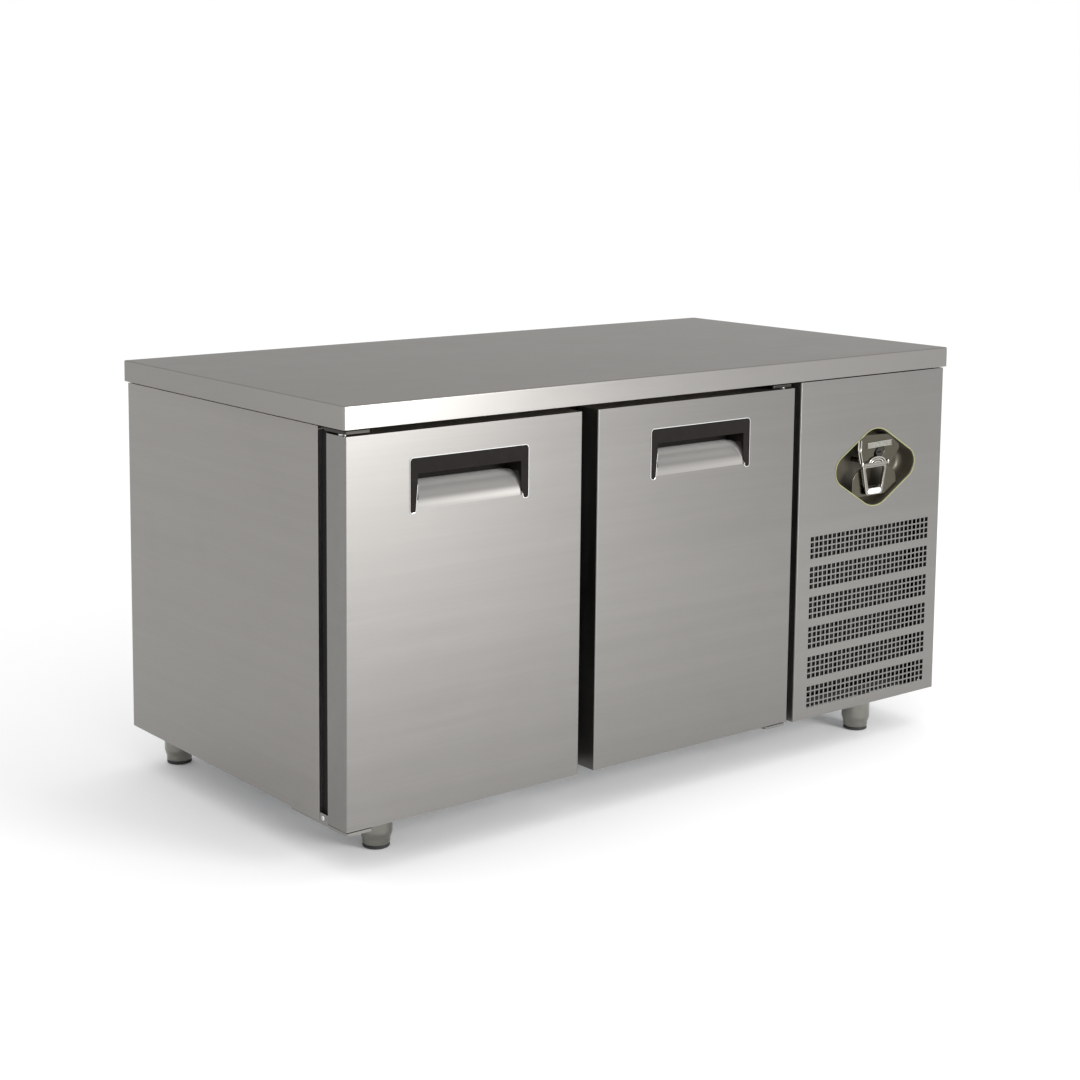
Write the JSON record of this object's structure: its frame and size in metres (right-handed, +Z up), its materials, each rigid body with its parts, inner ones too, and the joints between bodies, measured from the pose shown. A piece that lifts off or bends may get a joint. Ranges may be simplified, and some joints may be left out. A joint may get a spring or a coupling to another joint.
{
  "type": "undercounter refrigerator",
  "caption": "Low stainless counter refrigerator with flat worktop, hinged doors with recessed grips, and a vented, latched service panel over the machine bay.",
  "frame": {"origin": "floor level under the centre of the worktop", "axes": "+X to the right of a user facing the doors, +Y to the back, +Z up"},
  "size_m": [1.5, 0.76, 0.8],
  "materials": {
    "brushed_case": "horizontal fine brushing, satin",
    "underlay": "raw board",
    "black_strip": "matt black",
    "galvanised": "zinc-coated sheet",
    "foam": "rigid foam",
    "inner_steel": "satin",
    "hinge_steel": "satin, cut edges",
    "bright_steel": "bright turned",
    "shelf_wire": "polished wire",
    "coil_fins": "bare fins",
    "machine_black": "satin black enamel",
    "fan_plastic": "moulded",
    "mount_rubber": "matt",
    "copper": "drawn copper",
    "control_plastic": "moulded, fine grain",
    "switch_plastic": "gloss",
    "foot_steel": "turned, satin",
    "gasket_rubber": "soft matt",
    "handle_black": "fine moulded grain",
    "dish_polished": "dark polished",
    "seal_plastic": "pale yellow-green",
    "latch_chrome": "polished"
  },
  "bodies": {
    "case": {"back_panel": "galvanised", "bottom_pan": "galvanised", "breaker_strips": "black_strip", "cable_gland": "control_plastic", "case_insulation": "foam", "case_screws": "bright_steel", "cold_liner": "inner_steel", "compressor": "machine_black", "compressor_mounts": "mount_rubber", "condenser_coil": "coil_fins", "condenser_fan_motor": "machine_black", "control_box": "control_plastic", "copper_pipes": "copper", "divider_panel": "galvanised", "drip_tray": "inner_steel", "evaporator_coil": "coil_fins", "evaporator_cover": "inner_steel", "evaporator_fan_motor": "machine_black", "fan_shroud": "galvanised", "filter_drier": "copper", "foot_sleeves": "foot_steel", "hinge_pins": "bright_steel", "left_shelf": "shelf_wire", "left_side_panel": "brushed_case", "lower_hinges": "hinge_steel", "mullion_post": "inner_steel", "right_shelf": "shelf_wire", "right_side_panel": "brushed_case", "shelf_clips": "hinge_steel", "shelf_uprights": "inner_steel", "top_spacer": "black_strip", "unit_base": "galvanised", "upper_hinges": "hinge_steel", "worktop_core": "underlay", "worktop_skin": "brushed_case"},
    "left_door": {"left_door_bushes": "bright_steel", "left_door_foam": "foam", "left_door_gasket": "gasket_rubber", "left_door_handle": "handle_black", "left_door_inner_panel": "inner_steel", "left_door_skin": "brushed_case"},
    "right_door": {"right_door_bushes": "bright_steel", "right_door_foam": "foam", "right_door_gasket": "gasket_rubber", "right_door_handle": "handle_black", "right_door_inner_panel": "inner_steel", "right_door_skin": "brushed_case"},
    "service_panel": {"service_panel_skin": "brushed_case", "latch_dish": "dish_polished", "dish_seal": "seal_plastic", "latch_plate": "latch_chrome"},
    "pull_loop": {"pull_loop": "latch_chrome"},
    "lock": {"lock_cylinder": "latch_chrome"},
    "evaporator_fan": {"evaporator_fan_blade": "fan_plastic"},
    "condenser_fan": {"condenser_fan_blade": "fan_plastic"},
    "switch": {"rocker_switch": "switch_plastic"},
    "front_left_foot": {"foot_front_left": "foot_steel"},
    "front_right_foot": {"foot_front_right": "foot_steel"},
    "back_left_foot": {"foot_back_left": "foot_steel"},
    "back_right_foot": {"foot_back_right": "foot_steel"}
  },
  "joints": [
    {"name": "left_door_hinge", "type": "hinge", "parent": "case", "child": "left_door", "pos_m": [-0.732, -0.351, 0.4], "axis": [0, 0, -1], "range_deg": [0, 95]},
    {"name": "right_door_hinge", "type": "hinge", "parent": "case", "child": "right_door", "pos_m": [0.291, -0.351, 0.4], "axis": [0, 0, 1], "range_deg": [0, 95]},
    {"name": "service_panel_hinge", "type": "hinge", "parent": "case", "child": "service_panel", "pos_m": [0.733, -0.358, 0.4], "axis": [0, 0, 1], "range_deg": [0, 95]},
    {"name": "pull_loop_pivot", "type": "hinge", "parent": "service_panel", "child": "pull_loop", "pos_m": [0.5425, -0.3745, 0.575], "axis": [-1, 0, 0], "range_deg": [0, 90]},
    {"name": "lock_turn", "type": "hinge", "parent": "service_panel", "child": "lock", "pos_m": [0.554, -0.36, 0.598], "axis": [0, -1, 0], "range_deg": [0, 90]},
    {"name": "evaporator_fan_spin", "type": "hinge", "parent": "case", "child": "evaporator_fan", "pos_m": [0.19, 0.055, 0.56], "axis": [-1, 0, 0], "continuous": true},
    {"name": "condenser_fan_spin", "type": "hinge", "parent": "case", "child": "condenser_fan", "pos_m": [0.525, -0.218, 0.272], "axis": [0, 1, 0], "continuous": true},
    {"name": "rocker_tilt", "type": "hinge", "parent": "case", "child": "switch", "pos_m": [0.36, -0.298, 0.62], "axis": [-1, 0, 0], "range_deg": [0, 14]},
    {"name": "front_left_foot_screw", "type": "slide", "parent": "case", "child": "front_left_foot", "axis": [0, 0, -1], "range_m": [0, 0.04]},
    {"name": "front_right_foot_screw", "type": "slide", "parent": "case", "child": "front_right_foot", "axis": [0, 0, -1], "range_m": [0, 0.04]},
    {"name": "back_left_foot_screw", "type": "slide", "parent": "case", "child": "back_left_foot", "axis": [0, 0, -1], "range_m": [0, 0.04]},
    {"name": "back_right_foot_screw", "type": "slide", "parent": "case", "child": "back_right_foot", "axis": [0, 0, -1], "range_m": [0, 0.04]}
  ]
}
